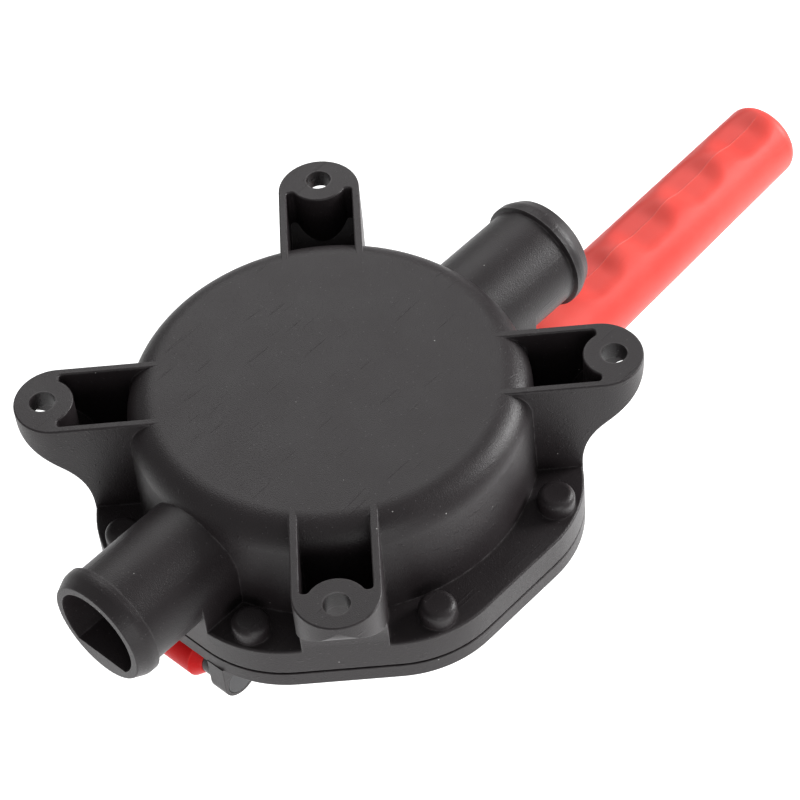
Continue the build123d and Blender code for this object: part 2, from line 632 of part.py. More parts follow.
def pivot_spacer(side):
    """A short tube that keeps the lever midway between the lugs."""
    y0, y1 = sorted((side * (LEVER_HALF_WIDTH + SIDE_GAP), side * LUG_INNER))
    tube = rod_y(SPACER_R, y0, y1, PIVOT_X, PIVOT_Z)
    return tube - rod_y(PIVOT_PIN_R + RUNNING_FIT, y0, y1, PIVOT_X, PIVOT_Z)


def pivot_pin():
    """The hinge pin: a flat head in the -Y lug and a clip groove outside the +Y lug."""
    end = LUG_OUTER + CLIP_PLAY + CLIP_THICKNESS + PIN_END_BEYOND_CLIP
    pin = rod_y(PIVOT_PIN_R, -LUG_OUTER, end, PIVOT_X, PIVOT_Z)
    pin += rod_y(PIVOT_HEAD_R, -LUG_OUTER, -LUG_OUTER + PIVOT_HEAD_HEIGHT, PIVOT_X, PIVOT_Z)
    return pin - pin_groove(LUG_OUTER + CLIP_PLAY, PIVOT_X, PIVOT_Z, PIVOT_PIN_R)


# ---- handle grip --------------------------------------------------------------------------

def grip_radius(along):
    """The grip's radius at a distance from its lever end."""
    return GRIP_R_START + (GRIP_R_END - GRIP_R_START) * along / GRIP_LENGTH


def handle_grip():
    """A tapered grip with four finger dents, pushed over the lever's stub."""
    shoulder = GRIP_LENGTH - GRIP_DOME
    grip = turned([(0, 0), (GRIP_R_START, 0), (grip_radius(shoulder), shoulder), (0, shoulder)])
    grip = fillet(grip.edges().group_by(Axis.Z)[-1], GRIP_END_ROUND)
    grip = fillet(grip.edges().group_by(Axis.Z)[0], GRIP_MOUTH_ROUND)
    cap_r = grip_radius(shoulder) - GRIP_END_ROUND
    ball_r = (cap_r ** 2 + GRIP_DOME ** 2) / (2 * GRIP_DOME)
    cap = Pos(0, 0, GRIP_LENGTH - ball_r) * Sphere(ball_r)
    grip += cap & Pos(0, 0, shoulder) * Cylinder(cap_r, 2 * GRIP_DOME)
    for index in range(DENT_COUNT):
        along = DENT_FIRST + index * DENT_PITCH
        offset = grip_radius(along) + DENT_R - DENT_DEPTH
        grip -= Pos(-offset, 0, along) * Rot(90, 0, 0) * Cylinder(DENT_R, 4 * GRIP_R_START)
    grip -= Pos(0, 0, STUB_LENGTH / 2) * Cylinder(STUB_R + PRESS_FIT, STUB_LENGTH + 0.5)
    path = Pos(GRIP_SEAT_R, 0, GRIP_SCREW_AT) * Rot(0, 90, 0)
    grip -= path * Cylinder(GRIP_SCREW_R + PRESS_FIT, 2 * STUB_R)
    grip -= path * Pos(0, 0, STUB_R / 2) * Cylinder(GRIP_SCREW_HEAD_R + COUNTERSINK_PLAY, STUB_R)
    return handle_frame() * grip


def handle_screw():
    """The small screw that keeps the grip on the stub, on the side away from the bulkhead."""
    path = handle_frame() * Pos(GRIP_SEAT_R, 0, GRIP_SCREW_AT) * Rot(0, 90, 0)
    head = Cylinder(GRIP_SCREW_HEAD_R, GRIP_SCREW_HEAD_HEIGHT)
    head = path * Pos(0, 0, GRIP_SCREW_HEAD_HEIGHT / 2) * head
    shank_length = GRIP_SEAT_R - STUB_BORE_R
    return head + path * Pos(0, 0, -shank_length / 2) * Cylinder(GRIP_SCREW_R, shank_length)


# ---- assembly -----------------------------------------------------------------------------

def main():
    os.makedirs("parts", exist_ok=True)

    save(pump_body(), "pump_body")
    save(clamp_ring(), "clamp_ring")
    save([clamp_screw(x, y) for x, y in screw_places()], "clamp_screws")

    # both flaps open towards +X: the inlet's into the bowl, the outlet's into its barb
    for name, side in (("inlet", -1), ("outlet", 1)):
        plate_x = side * PORT_FACE - (SEAT_PLATE if side > 0 else 0)
        chamber_face = side * (PORT_FACE - SEAT_PLATE)
        flap_face = plate_x + SEAT_PLATE
        save(valve_seat(plate_x), name + "_valve_seat")
        save(flap(flap_face), name + "_flap")
        save(flap_clip(flap_face), name + "_flap_clip")
        save(valve_screws(chamber_face, side), name + "_valve_screws")

    save(diaphragm(), "diaphragm")
    save(inner_plate(), "inner_plate")
    save(outer_plate(), "outer_plate")
    save(centre_bolt(), "centre_bolt")
    washer = rod_z(SEAL_WASHER_R, INNER_PLATE_TOP, BOLT_HEAD_BASE)
    save(washer - rod_z(CENTRE_BOLT_R + RUNNING_FIT, INNER_PLATE_TOP, BOLT_HEAD_BASE), "sealing_washer")
    save(pull_rod(), "pull_rod")
    save(cross_pin(), "cross_pin")
    cross_clips = []
    for y in (CROSS_CLIP_Y, -CROSS_CLIP_Y - CLIP_THICKNESS):
        cross_clips.append(retaining_clip(y, 0, CROSS_PIN_Z, CROSS_PIN_R))
    save(cross_clips, "cross_pin_clips")

    save(lever(), "lever")
    save([pivot_bush(side) for side in (1, -1)], "pivot_bushes")
    save([pivot_spacer(side) for side in (1, -1)], "pivot_spacers")
    save(pivot_pin(), "pivot_pin")
    save(retaining_clip(LUG_OUTER + CLIP_PLAY, PIVOT_X, PIVOT_Z, PIVOT_PIN_R), "pivot_clip")
    save(handle_grip(), "handle_grip")
    save(handle_screw(), "handle_screw")

    print("stroke per radian", round(STROKE_PER_RADIAN, 3), "mm, error", round(STROKE_ERROR, 3), "mm")
    print("stroke outward", round(STROKE_PER_RADIAN * SWING_OUT, 3), "mm")


main()
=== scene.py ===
# %% [markdown]
# # A hand-worked bilge pump
# The pump is a round moulded bowl with four mounting ears and two hose tails. A rubber
# diaphragm closes its open side, and a red lever under it pushes and pulls the diaphragm.
# The rigid pieces arrive as finished meshes from the engineering model. Blender's part is
# the camera, the light, the finish of every surface, and new meshes for the two pieces that
# are soft to the eye or to the touch: the moulded grip and the rubber diaphragm.
#
# The frame is loaded first. Nothing made here may change the size.

# %% Load the engineering model
from math import cos, pi, radians, sin

import bpy
from mathutils import Matrix, Vector


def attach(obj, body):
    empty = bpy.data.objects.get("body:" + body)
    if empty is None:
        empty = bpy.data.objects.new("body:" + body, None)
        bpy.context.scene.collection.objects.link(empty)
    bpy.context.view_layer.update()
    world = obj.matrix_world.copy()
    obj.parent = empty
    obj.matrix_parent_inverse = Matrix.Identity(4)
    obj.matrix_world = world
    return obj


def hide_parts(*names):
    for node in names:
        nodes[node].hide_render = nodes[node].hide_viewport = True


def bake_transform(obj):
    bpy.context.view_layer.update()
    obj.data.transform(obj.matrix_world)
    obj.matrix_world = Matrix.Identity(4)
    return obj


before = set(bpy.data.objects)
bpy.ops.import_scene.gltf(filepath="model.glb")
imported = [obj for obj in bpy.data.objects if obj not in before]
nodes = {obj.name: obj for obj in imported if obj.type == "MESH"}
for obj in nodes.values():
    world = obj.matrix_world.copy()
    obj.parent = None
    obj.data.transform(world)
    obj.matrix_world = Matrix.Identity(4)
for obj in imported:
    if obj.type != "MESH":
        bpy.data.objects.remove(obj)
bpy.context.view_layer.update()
MM = 0.001


# %% [markdown]
# ## The camera
# A product picture of something this small is taken from about a metre away with a long
# lens, which keeps the ears and the tails from spreading. The camera could be aimed with a
# Track To constraint, but the real one was also tilted a little about its own line of sight,
# so the three directions of its matrix are worked out here. The small shift moves
# the picture sideways and up without turning the camera.

# %% Camera
def add_camera(azimuth, elevation, distance, roll, target):
    """A camera looking at the target from that direction, turned about its line of sight."""
    around, up_angle, turn = radians(azimuth), radians(elevation), radians(roll)
    back = Vector((sin(around) * cos(up_angle), -cos(around) * cos(up_angle), sin(up_angle)))
    right = Vector((0, 0, 1)).cross(back).normalized()
    up = back.cross(right)
    turned_right = right * cos(turn) + up * sin(turn)
    turned_up = up * cos(turn) - right * sin(turn)
    camera = bpy.data.objects.new("camera", bpy.data.cameras.new("camera"))
    bpy.context.scene.collection.objects.link(camera)
    matrix = Matrix((turned_right, turned_up, back)).transposed().to_4x4()
    matrix.translation = target + back * distance
    camera.matrix_world = matrix
    return camera


CAMERA_TARGET = Vector((0, 0, -0.0405))
camera = add_camera(
    azimuth=-41.17, elevation=48.86, distance=0.946, roll=-7.69, target=CAMERA_TARGET)
camera.data.sensor_width = 36
camera.data.lens = 125.1
camera.data.shift_x = 0.078
camera.data.shift_y = 0.072
camera.data.clip_start = 0.02
bpy.context.scene.camera = camera
print("camera at", [round(value, 3) for value in camera.matrix_world.translation])


# %% [markdown]
# ## Floor, sky and lamps
# Black plastic shows its shape through what it reflects, so the lamps matter more than the
# colour. A large soft lamp behind and above gives the flat back its even grey. A small strong
# one on the right draws the light edge round the bowl and lights the grip. A weak low one in
# front on the left opens the shadows. The pump hangs free, so the pale floor is far below it
# and takes only a faint shadow.

# %% Floor and world
FLOOR_Z = -0.60
FLOOR_GLOW = 0.62
SKY_GLOW = 0.34


def add_floor():
    bpy.ops.object.select_all(action="DESELECT")
    bpy.ops.mesh.primitive_plane_add(size=14, location=(0, 0, FLOOR_Z))
    floor = bpy.context.object
    floor.name = "floor"
    material = bpy.data.materials.new("pale_floor")
    material.use_nodes = True
    shader = material.node_tree.nodes["Principled BSDF"]
    shader.inputs["Base Color"].default_value = (0.93, 0.93, 0.93, 1)
    shader.inputs["Roughness"].default_value = 0.9
    shader.inputs["Specular IOR Level"].default_value = 0.1
    shader.inputs["Emission Color"].default_value = (1, 1, 1, 1)
    shader.inputs["Emission Strength"].default_value = FLOOR_GLOW
    floor.data.materials.append(material)
    return floor


world = bpy.data.worlds.new("studio")
world.use_nodes = True
sky = world.node_tree.nodes["Background"]
sky.inputs["Color"].default_value = (1, 1, 1, 1)
sky.inputs["Strength"].default_value = SKY_GLOW
bpy.context.scene.world = world
bpy.context.scene.view_settings.view_transform = "Standard"
print("floor", add_floor().name, "at", FLOOR_Z)


# %% Lamps
def add_lamp(name, place, size, power, aim=(0, 0, -0.03)):
    """A square soft lamp at a place, turned to face the aim."""
    lamp = bpy.data.objects.new(name, bpy.data.lights.new(name, "AREA"))
    bpy.context.scene.collection.objects.link(lamp)
    lamp.data.size = size
    lamp.data.energy = power
    lamp.location = place
    lamp.rotation_euler = (Vector(place) - Vector(aim)).to_track_quat("Z", "Y").to_euler()
    return lamp


add_lamp("back_lamp", (0.75, 0.95, 1.15), size=1.1, power=9)
add_lamp("left_lamp", (-0.75, -1.25, 0.3), size=0.7, power=5)
add_lamp("right_lamp", (1.22, -0.62, 0.48), size=0.6, power=22)


# %% [markdown]
# ## Writing finishes in code
# A finish is a tree of nodes. Clicked together it's hard to read back, so the sums here are
# written as Python expressions: `Value` wraps one output socket, and adding or multiplying
# it makes the Math node. Every other node comes from `Finish.node`. What is the same all
# over a surface is set straight on the shader.

# %% Values and finishes
class Value:
    """One output socket that can be used in sums."""

    def __init__(self, finish, socket):
        self.finish = finish
        self.socket = socket

    def maths(self, operation, first, second):
        return self.finish.node("ShaderNodeMath", {"operation": operation}, {0: first, 1: second})

    def __add__(self, other):
        return self.maths("ADD", self, other)

    def __rsub__(self, other):
        return self.maths("SUBTRACT", other, self)

    def __mul__(self, other):
        return self.maths("MULTIPLY", self, other)

    def __lt__(self, other):
        return self.maths("LESS_THAN", self, other)

    def fade(self, start, end):
        """0 at start, 1 at end, and smooth between them."""
        settings = {"interpolation_type": "SMOOTHSTEP"}
        inputs = {"Value": self, "From Min": start, "From Max": end}
        return self.finish.node("ShaderNodeMapRange", settings, inputs)


class Finish:
    """One material, with short ways to add its nodes."""

    def __init__(self, name, **uniform):
        self.material = bpy.data.materials.new(name)
        self.material.use_nodes = True
        self.tree = self.material.node_tree
        self.shader = self.tree.nodes["Principled BSDF"]
        for key, value in uniform.items():
            self.shader.inputs[key.replace("_", " ")].default_value = value
        self.place = self.node("ShaderNodeTexCoord", output="Object")
        self.normal = self.node("ShaderNodeNewGeometry", output="Normal")

    def node(self, kind, settings=None, inputs=None, output=0):
        """Add a node, settings first, then link or set its inputs; gives one output."""
        made = self.tree.nodes.new(kind)
        for key, value in (settings or {}).items():
            setattr(made, key, value)
        for key, value in (inputs or {}).items():
            self.feed(made.inputs[key], value)
        return Value(self, made.outputs[output])

    def feed(self, socket, value):
        if isinstance(value, Value):
            self.tree.links.new(value.socket, socket)
        else:
            socket.default_value = value

    def set(self, name, value):
        self.feed(self.shader.inputs[name], value)

    def noise(self, size, detail=2.0, stretch=(1, 1, 1), roughness=0.5):
        """Noise from 0 to 1 whose lumps are about that many metres across."""
        where = self.node("ShaderNodeMapping", None, {"Vector": self.place, "Scale": stretch})
        inputs = {"Vector": where, "Scale": 1 / size, "Detail": detail, "Roughness": roughness}
        return self.node("ShaderNodeTexNoise", None, inputs, "Fac")

    def specks(self, spacing, radius, share):
        """Small round specks: 1 inside a speck. Only a share of the cells holds one."""
        inputs = {"Vector": self.place, "Scale": 1 / spacing}
        distance = self.node("ShaderNodeTexVoronoi", None, inputs, "Distance")
        shade = self.node("ShaderNodeTexVoronoi", None, inputs, "Color")
        chosen = self.node("ShaderNodeSeparateColor", None, {0: shade}, "Red") < share
        return (distance < radius / spacing) * chosen

    def edges(self, radius, gain):
        """A mask for corners: 1 where the surface turns sharply within that radius."""
        rounded = self.node("ShaderNodeBevel", {"samples": 4}, {"Radius": radius})
        settings = {"operation": "DOT_PRODUCT"}
        alike = self.node("ShaderNodeVectorMath", settings, {0: rounded, 1: self.normal}, "Value")
        return self.node("ShaderNodeClamp", None, {0: (1 - alike) * gain})

    def mix(self, mask, low, high):
        """One colour turning into another with the mask."""
        settings = {"data_type": "RGBA"}
        return self.node("ShaderNodeMix", settings, {0: mask, 6: low, 7: high}, 2)

    def bump(self, height, distance, under=None):
        """A normal that is bumped by a height, over another bump if one is given."""
        inputs = {"Height": height, "Distance": distance, "Strength": 1.0}
        if under:
            inputs["Normal"] = under
        return self.node("ShaderNodeBump", None, inputs)


def paint(finish, *names):
    """Give a finish to CAD nodes in place of the plain one they came with."""
    for name in names:
        slots = nodes[name].material_slots
        for slot in slots:
            slot.material = finish.material
        if not slots:
            nodes[name].data.materials.append(finish.material)
    print(finish.material.name, "on", ", ".join(names))


# %% [markdown]
# ## Satin black mouldings
# The bowl and the clamp ring are injection moulded in black, glass-filled plastic. Such
# plastic is never pure black: it is a warm charcoal, and the glass fibres near the skin mottle
# its gloss. Light is painted into its colour as well: each edge gets a paler colour, partly wear
# and partly a painted highlight, and pale specks are painted glints off the fibres. A texture
# image would need a UV map, so noise in three dimensions is used, because it runs over ears,
# tails and bowl without a seam. The mask for the edges comes from a Bevel node, which compares
# the surface's own direction with that of a slightly rounded copy.

# %% Body plastic
DUST = (0.42, 0.41, 0.4, 1)


def moulded_plastic(name, dark, light, edge, grain=0.45 * MM, gloss=0.4, shine=0.36):
    """Satin moulded plastic: mottled colour and gloss, fine grain, dust specks, painted glints,
    and pale edges that are wear and a painted highlight.
    """
    finish = Finish(name, Specular_IOR_Level=shine)
    mottle = finish.noise(18 * MM, 3)
    fine = finish.noise(grain, 3)
    flow = finish.noise(50 * MM, 2, stretch=(0.35, 1, 1))
    # Painted highlight and wear: the edge mask, broken up by noise, mixes the pale edge colour
    # into the colour on every sharp edge.
    wear_and_edge_highlight = finish.edges(1.1 * MM, 5.0) * finish.noise(4 * MM, 2).fade(0.25, 0.6)
    blend = mottle * 0.5 + fine * 0.25 + flow * 0.25
    colour = finish.mix(blend, dark, light)
    colour = finish.mix(wear_and_edge_highlight, colour, edge)
    # Painted glints: a share of tiny specks takes half the pale edge colour, standing in for glass
    # fibres catching the light.
    painted_glints = finish.specks(spacing=1.6 * MM, radius=0.22 * MM, share=0.35)
    colour = finish.mix(painted_glints * 0.5, colour, edge)
    specks = finish.specks(spacing=8 * MM, radius=0.22 * MM, share=0.5)
    colour = finish.mix(specks, colour, DUST)
    finish.set("Base Color", colour)
    finish.set("Roughness", mottle * 0.16 + fine * 0.12 + wear_and_edge_highlight * 0.06 + (gloss - 0.14))
    scratches = finish.noise(1.6 * MM, 1, stretch=(0.06, 1.0, 1.0)).fade(0.66, 0.76)
    grain_bump = finish.bump(fine, 0.12 * MM)
    waves = scratches + flow * 0.8 + mottle * 0.8
    finish.set("Normal", finish.bump(waves, 0.06 * MM, under=grain_bump))
    return finish


# Its edge colour is the pale wear and painted highlight on the edges, and the colour of the
# painted glints.
body_finish = moulded_plastic(
    "body_plastic",
    dark=(0.0145, 0.0118, 0.0130, 1),
    light=(0.030, 0.0245, 0.0262, 1),
    edge=(0.095, 0.088, 0.090, 1))
paint(body_finish, "pump_body", "clamp_ring")


# %% [markdown]
# ## The red lever
# The lever is the same kind of moulding in a deep signal red. Red plastic is slightly
# see-through, so its thin bevels look brighter than its flats. Real subsurface scattering
# would show that but costs render time for a piece that is mostly in shadow, so painted light
# stands in for it: a brighter colour on the edge mask, a painted highlight on the bevels.

# %% Lever plastic
# Its bright edge colour is painted light: a painted highlight on the bevels, with some wear, and
# the colour of the painted glints.
lever_finish = moulded_plastic(
    "lever_plastic",
    dark=(0.58, 0.004, 0.005, 1),
    light=(0.68, 0.008, 0.009, 1),
    edge=(0.88, 0.06, 0.05, 1),
    shine=0.1)
paint(lever_finish, "lever")


# %% [markdown]
# ## Valve parts, diaphragm plates and bushes
# The pieces inside are plain mouldings too, in dark grey acetal and nylon, and
# the same recipe serves with other colours and a finer grain. Their edge colours
# are again wear and a painted highlight, and tint the painted glints.

# %% Inner mouldings
INNER_GRAIN = 0.3 * MM
valve_finish = moulded_plastic(
    "valve_plastic",
    dark=(0.045, 0.045, 0.048, 1),
    light=(0.07, 0.07, 0.073, 1),
    edge=(0.14, 0.14, 0.145, 1),
    grain=INNER_GRAIN)
paint(valve_finish, "inlet_valve_seat", "outlet_valve_seat", "inlet_flap_clip", "outlet_flap_clip")
plate_finish = moulded_plastic(
    "plate_plastic",
    dark=(0.035, 0.035, 0.038, 1),
    light=(0.06, 0.06, 0.064, 1),
    edge=(0.13, 0.13, 0.135, 1),
    grain=INNER_GRAIN)
paint(plate_finish, "inner_plate", "outer_plate", "pull_rod", "pivot_pin")
bush_finish = moulded_plastic(
    "bush_plastic",
    dark=(0.028, 0.028, 0.03, 1),
    light=(0.05, 0.05, 0.053, 1),
    edge=(0.11, 0.11, 0.115, 1),
    grain=INNER_GRAIN,
    gloss=0.32)
paint(bush_finish, "pivot_bushes", "pivot_spacers")


# %% [markdown]
# ## Stainless steel
# Pins and screws are turned from stainless bar, which leaves very fine rings, and the heads
# are tumbled until they are satin. The metal has one colour; only its roughness and a faint
# bump vary. A little salt staining keeps it from looking like chrome.

# %% Stainless steel
def stainless_steel():
    finish = Finish("stainless", Metallic=1.0)
    turned = finish.noise(0.7 * MM, 2, stretch=(1, 6, 1))
    stain = finish.noise(6 * MM, 4).fade(0.52, 0.75)
    bright, stained = (0.60, 0.60, 0.61, 1), (0.42, 0.40, 0.37, 1)
    finish.set("Base Color", finish.mix(stain, bright, stained))
    finish.set("Roughness", turned * 0.14 + stain * 0.16 + 0.24)
    finish.set("Normal", finish.bump(turned, 0.02 * MM))
    return finish


steel = stainless_steel()
paint(steel, "clamp_screws", "inlet_valve_screws", "outlet_valve_screws", "centre_bolt",
      "sealing_washer", "cross_pin", "cross_pin_clips", "pivot_clip", "handle_screw")


# %% [markdown]
# ## Rubber
# The flaps and the diaphragm are moulded nitrile rubber. It is matt, with a soft sheen at
# grazing angles and a pale bloom where it has been flexed. Sheen is a setting of the shader,
# and the bloom is a broad noise in the colour.

# %% Rubber
def moulded_rubber():
    finish = Finish("rubber", Specular_IOR_Level=0.3, Sheen_Weight=0.12, Sheen_Roughness=0.5)
    bloom = finish.noise(12 * MM, 4).fade(0.4, 0.8)
    grain = finish.noise(0.5 * MM, 3)
    fresh, bloomed = (0.014, 0.014, 0.015, 1), (0.034, 0.034, 0.036, 1)
    finish.set("Base Color", finish.mix(bloom, fresh, bloomed))
    finish.set("Roughness", bloom * 0.12 + grain * 0.1 + 0.58)
    finish.set("Normal", finish.bump(grain, 0.08 * MM))
    return finish


rubber = moulded_rubber()
paint(rubber, "inlet_flap", "outlet_flap")


# %% [markdown]
# ## Turned shapes, ring by ring
# The grip and the diaphragm are both round, with an outline that changes along the axis.
# They could be spun from a drawn outline. Starting from a circle and extruding it ring by
# ring gives the same mesh, with even quads that take a later dent well, and the outline stays
# a readable list of radius and height.

# %% A helper for turned shapes
def turn_rings(name, outline, segments):
    """Extrude a circle through a list of (radius, height), ring by ring; the ends are left open.
    """
    bpy.ops.object.select_all(action="DESELECT")
    radius, height = outline[0]
    bpy.ops.mesh.primitive_circle_add(vertices=segments, radius=radius, location=(0, 0, height))
    piece = bpy.context.object
    piece.name = piece.data.name = name
    bpy.ops.object.transform_apply(location=True)
    bpy.ops.object.mode_set(mode="EDIT")
    for next_radius, next_height in outline[1:]:
        rise = (0, 0, next_height - height)
        bpy.ops.mesh.extrude_region_move(TRANSFORM_OT_translate={"value": rise})
        grow = next_radius / radius
        bpy.ops.transform.resize(value=(grow, grow, 1), center_override=(0, 0, 0))
        radius, height = next_radius, next_height
    bpy.ops.object.mode_set(mode="OBJECT")
    return piece


def close_ring(piece, height):
    """Close the open ring at a height with a fan of triangles to its middle."""
    bpy.ops.object.mode_set(mode="EDIT")
    bpy.ops.mesh.select_all(action="DESELECT")
    bpy.ops.mesh.select_non_manifold()
    bpy.ops.object.mode_set(mode="OBJECT")
    for vertex in piece.data.vertices:
        vertex.select = vertex.select and abs(vertex.co.z - height) < 1e-5
    for edge in piece.data.edges:
        edge.select = all(piece.data.vertices[index].select for index in edge.vertices)
    bpy.ops.object.mode_set(mode="EDIT")
    bpy.ops.mesh.extrude_region_move()
    bpy.ops.mesh.merge(type="CENTER")
    bpy.ops.object.mode_set(mode="OBJECT")


def finish_mesh(piece, angle=40):
    """Normals outwards, doubles merged, and smooth shading up to an angle."""
    bpy.ops.object.mode_set(mode="EDIT")
    bpy.ops.mesh.select_all(action="SELECT")
    bpy.ops.mesh.remove_doubles(threshold=1e-6)
    bpy.ops.mesh.normals_make_consistent(inside=False)
    bpy.ops.object.mode_set(mode="OBJECT")
    bpy.ops.object.shade_smooth_by_angle(angle=radians(angle))


# %% [markdown]
# ## The grip
# The grip is a soft moulded sleeve that is pushed over the lever's stub: a slightly tapered
# barrel with a domed end, and four finger dents on the side that faces the bulkhead. Cutting
# the dents with a Boolean leaves sharp rims, which fingers would notice at once. Pushing in a
# few points with proportional editing pulls their neighbours along, as clay would move.
# The two halves of the mould leave a fine raised line along the dents.

# %% Measure the grip in the engineering model
GRIP_TILT = 3.3
along_grip = Vector((cos(radians(GRIP_TILT)), 0, sin(radians(GRIP_TILT))))
across_grip = Vector((-along_grip.z, 0, along_grip.x))
grip_points = [vertex.co.copy() for vertex in nodes["handle_grip"].data.vertices]
start = min(point.dot(along_grip) for point in grip_points)
GRIP_LENGTH = max(point.dot(along_grip) for point in grip_points) - start
mouth = [point for point in grip_points if point.dot(along_grip) < start + 2 * MM]
heights = [point.dot(across_grip) for point in mouth]
grip_middle = (min(heights) + max(heights)) / 2
GRIP_R_START = max(point.y for point in grip_points)
GRIP_R_END = 14.8 * MM
print("grip", round(GRIP_LENGTH, 4), "long, radius", round(GRIP_R_START, 4))


# %% Grip barrel
BORE_R = 12.42 * MM
BORE_DEPTH = 86.4 * MM
RING_STEP = 1.25 * MM
MOUTH_ROUND = 1.5 * MM
END_ROUND = 4.5 * MM
END_DOME = 1.2 * MM


def grip_outline():
    """Radius and height from the bottom of the bore, round the mouth, to the domed end."""
    shoulder = GRIP_LENGTH - END_DOME
    taper = (GRIP_R_END - GRIP_R_START) / GRIP_LENGTH
    outline = [(BORE_R * 0.5, BORE_DEPTH), (BORE_R, BORE_DEPTH)]
    outline += [(BORE_R, BORE_DEPTH * part) for part in (0.75, 0.5, 0.25)]
    outline += [(BORE_R, 1.0 * MM), (BORE_R + 0.6 * MM, 0.15 * MM)]
    for step in range(7):
        turn = pi / 12 * step
        outline.append((
            GRIP_R_START - MOUTH_ROUND + MOUTH_ROUND * sin(turn),
            MOUTH_ROUND - MOUTH_ROUND * cos(turn)))
    height = MOUTH_ROUND + RING_STEP
    while height < shoulder - END_ROUND:
        outline.append((GRIP_R_START + taper * height, height))
        height += RING_STEP
    rim = GRIP_R_START + taper * (shoulder - END_ROUND)
    flat = rim - END_ROUND
    for step in range(9):
        turn = pi / 16 * step
        outline.append((
            flat + END_ROUND * cos(turn),
            shoulder - END_ROUND + END_ROUND * sin(turn)))
    for part in (0.8, 0.6, 0.4, 0.2, 0.08):
        outline.append((flat * part, shoulder + (1 - part * part) * END_DOME))
    return outline


outline = grip_outline()
grip = turn_rings("handle_grip_moulded", outline, 112)
close_ring(grip, outline[-1][1])
close_ring(grip, outline[0][1])
print("grip rings", len(outline), "points", len(grip.data.vertices))


# %% Finger dents and mould line
DENT_COUNT = 4
DENT_FIRST = 43
DENT_PITCH = 29
DENT_DEPTH = 2.0 * MM
DENT_ROW_HALF_LENGTH = 4.6 * MM
DENT_ROW_HALF_WIDTH = 2.2 * MM
DENT_REACH = 10 * MM
DENT_SIDE = 13 * MM


def select_points(piece, chosen):
    """Select just the points that pass a test, and the edges and faces between them."""
    bpy.ops.object.mode_set(mode="OBJECT")
    for face in piece.data.polygons:
        face.select = False
    for edge in piece.data.edges:
        edge.select = False
    for vertex in piece.data.vertices:
        vertex.select = chosen(vertex.co)
    bpy.ops.object.mode_set(mode="EDIT")
    return sum(vertex.select for vertex in piece.data.vertices)


def press_dent(piece, along):
    """Push a short row of points on the +X side inwards, with their neighbours following."""
    def on_row(point):
        near = abs(point.z - along) < DENT_ROW_HALF_LENGTH and abs(point.y) < DENT_ROW_HALF_WIDTH
        return near and point.x > DENT_SIDE

    count = select_points(piece, on_row)
    bpy.ops.transform.translate(
        value=(-DENT_DEPTH, 0, 0), use_proportional_edit=True, use_proportional_connected=True,
        proportional_edit_falloff="SMOOTH", proportional_size=DENT_REACH)
    bpy.ops.object.mode_set(mode="OBJECT")
    return count


for index in range(DENT_COUNT):
    along = (DENT_FIRST + DENT_PITCH * index) * MM
    print("dent at", round(along, 3), "from", press_dent(grip, along), "points")


LINE_SIDE = 12.5 * MM
LINE_START = 12 * MM
LINE_END = GRIP_LENGTH - 6 * MM


def raise_mould_line(piece, half_width, height):
    """Cut a narrow strip along the +X side and lift its middle row a little."""
    def in_strip(point):
        return point.x > LINE_SIDE and LINE_START < point.z < LINE_END

    def on_middle_row(point):
        inside = LINE_START + 2 * MM < point.z < LINE_END - 1 * MM
        return point.x > LINE_SIDE and abs(point.y) < 0.01 * MM and inside

    for side in (-1, 1):
        select_points(piece, in_strip)
        bpy.ops.mesh.bisect(plane_co=(0, side * half_width, 0), plane_no=(0, 1, 0))
    count = select_points(piece, on_middle_row)
    bpy.ops.transform.translate(value=(height, 0, 0))
    bpy.ops.object.mode_set(mode="OBJECT")
    return count


print("mould line of", raise_mould_line(grip, 0.28 * MM, 0.14 * MM), "points")


# %% [markdown]
# The screw that holds the grip sits in a round recess on the other side. A hole in a dense
# mesh is cleanest as a Boolean difference with a stepped peg, which is thrown away after.

# %% Screw recess
RECESS_AT = 20 * MM
RECESS_STEPS = [(3.85 * MM, 13.41 * MM), (2.02 * MM, 12.0 * MM)]
PEG_END = 20 * MM


def cut_recess(piece, along, steps):
    """Cut round steps of (radius, inner end) into the -X side at a distance along the grip."""
    for radius, inner in steps:
        depth = PEG_END - inner
        bpy.ops.object.select_all(action="DESELECT")
        bpy.ops.mesh.primitive_cylinder_add(
            vertices=40, radius=radius, depth=depth, rotation=(0, pi / 2, 0),
            location=(-inner - depth / 2, 0, along))
        peg = bpy.context.object
        bpy.context.view_layer.objects.active = piece
        cutter = piece.modifiers.new("recess", "BOOLEAN")
        cutter.operation = "DIFFERENCE"
        cutter.solver = "EXACT"
        cutter.object = peg
        bpy.ops.object.modifier_apply(modifier=cutter.name)
        bpy.data.objects.remove(peg)
    return len(piece.data.polygons)


print("faces after the recess:", cut_recess(grip, RECESS_AT, RECESS_STEPS))
bpy.ops.object.select_all(action="DESELECT")
grip.select_set(True)
bpy.context.view_layer.objects.active = grip
finish_mesh(grip, 35)


# %% [markdown]
# The grip was built upright at the origin. It's turned onto the lever and its place is
# written into its mesh, so the object itself stays at the origin like every CAD node.

# %% Put the grip on the lever
axes = Matrix((across_grip, along_grip.cross(across_grip), along_grip)).transposed().to_4x4()
axes.translation = along_grip * start + across_grip * grip_middle
grip.matrix_world = axes
bpy.ops.object.transform_apply(location=True, rotation=True, scale=True)
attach(grip, "lever_arm")
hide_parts("handle_grip")
print("grip size", [round(value, 4) for value in grip.dimensions])
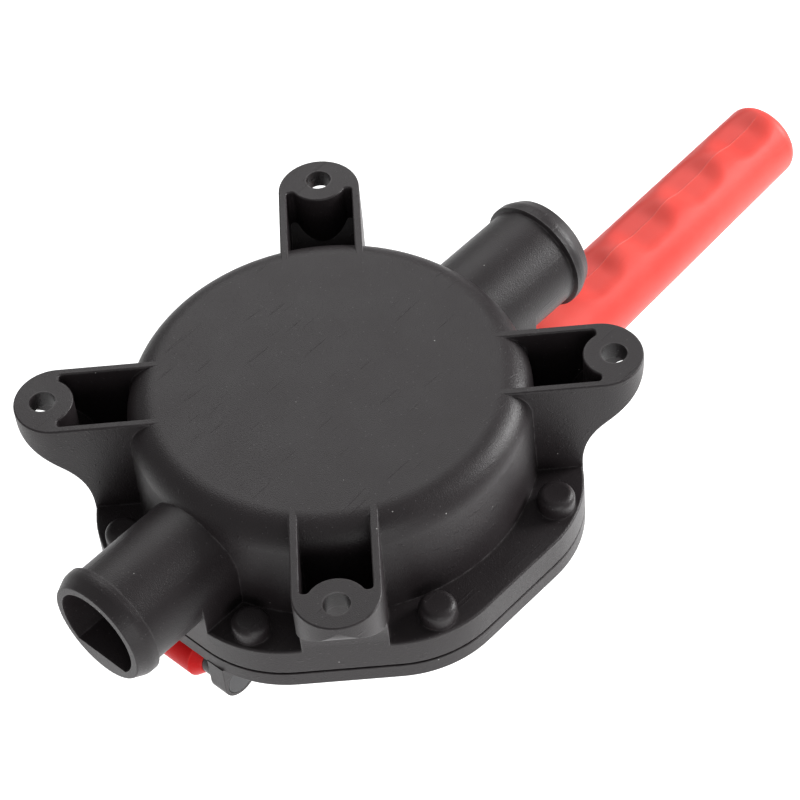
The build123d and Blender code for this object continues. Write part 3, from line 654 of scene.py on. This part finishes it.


# %% [markdown]
# ## Coral plastic of the grip
# The grip is brighter than the lever: an orange-red rubbery plastic that light enters a
# little way. Its surface is smooth to the touch, with a broad soft shine, cloudy paler
# patches where hands have polished it, and a few fine scuffs. Its edges are painted a pale
# pink, partly rubbing and partly a painted sheen. A little subsurface weight on the shader
# warms the shadows in the dents.

# %% Grip plastic
def grip_plastic():
    finish = Finish("grip_plastic", Specular_IOR_Level=0.26, Subsurface_Weight=0.12,
                    Subsurface_Scale=4 * MM, Subsurface_Radius=(1.0, 0.3, 0.2))
    clouds = finish.noise(30 * MM, 3).fade(0.3, 0.75)
    fine = finish.noise(0.5 * MM, 3)
    wear_and_edge_highlight = finish.edges(1.2 * MM, 4.0)
    deep, pale, rubbed_and_sheen = (0.82, 0.072, 0.058, 1), (0.89, 0.108, 0.088, 1), (0.97, 0.34, 0.30, 1)
    colour = finish.mix(clouds, deep, pale)
    # Painted sheen and wear: the edge mask mixes a pale pink into the colour on the grip's rims
    # and mould line.
    colour = finish.mix(wear_and_edge_highlight * 0.6, colour, rubbed_and_sheen)
    finish.set("Base Color", colour)
    scuffs = finish.noise(1.6 * MM, 1, stretch=(0.08, 1, 1)).fade(0.7, 0.8)
    finish.set("Roughness", clouds * 0.1 + fine * 0.06 + scuffs * 0.1 + 0.36)
    finish.set("Normal", finish.bump(fine + scuffs, 0.04 * MM))
    return finish


grip.data.materials.clear()
grip.data.materials.append(grip_plastic().material)
print("grip painted")


# %% [markdown]
# ## The diaphragm
# The diaphragm is one sheet of fabric-backed rubber, clamped flat between bowl and ring,
# with a slack skirt that rolls as the middle is pulled. A cloth simulation could find the
# slack, but the skirt has a moulded shape of its own, so it's turned from an outline with
# two raised sealing beads. The mesh is baked in place and is not attached to any body.

# %% Diaphragm outline
RIM_Z = -50.4 * MM
MIDDLE_Z = -38.0 * MM
SKIRT_IN, SKIRT_OUT = 36 * MM, 61.5 * MM
SKIRT_SAG = 1.6 * MM
RUBBER_HALF = 1.25 * MM
BEADS_AT = (41 * MM, 56.5 * MM)
BEAD_HEIGHT = 0.35 * MM
BEAD_HALF = 0.9 * MM
RIM_OUTLINE = [(62.5, 1.45), (72.4, 1.45), (72.9, 0.9), (72.9, -0.9), (72.4, -1.45), (62.5, -1.45)]


def skirt_height(radius):
    """Height of the sheet's mid surface: flat middle, sagging skirt, flat rim."""
    part = min(max((radius - SKIRT_IN) / (SKIRT_OUT - SKIRT_IN), 0), 1)
    fall = part * part * (3 - 2 * part)
    return MIDDLE_Z + (RIM_Z - MIDDLE_Z) * fall - SKIRT_SAG * sin(pi * part)


def skirt_bead(radius):
    """Two small raised rings in the skirt's surface."""
    bead = 0
    for place in BEADS_AT:
        bead += BEAD_HEIGHT * max(0, 1 - ((radius - place) / BEAD_HALF) ** 2)
    return bead


def diaphragm_outline():
    """A closed outline: out along the top, round the rim, and back underneath."""
    radii = [4.1 * MM, 12 * MM, 24 * MM, 33 * MM, 35 * MM]
    radii += [(36 + 0.3 * index) * MM for index in range(85)]
    top, bottom = [], []
    for radius in radii:
        half = RUBBER_HALF + skirt_bead(radius)
        top.append((radius, skirt_height(radius) + half))
        bottom.append((radius, skirt_height(radius) - half))
    rim = [(radius * MM, RIM_Z + height * MM) for radius, height in RIM_OUTLINE]
    return top + rim + bottom[::-1] + [top[0]]


diaphragm = turn_rings("diaphragm_rubber", diaphragm_outline(), 128)
finish_mesh(diaphragm, 50)
diaphragm.data.materials.append(rubber.material)
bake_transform(diaphragm)
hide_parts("diaphragm")
print("diaphragm faces", len(diaphragm.data.polygons))
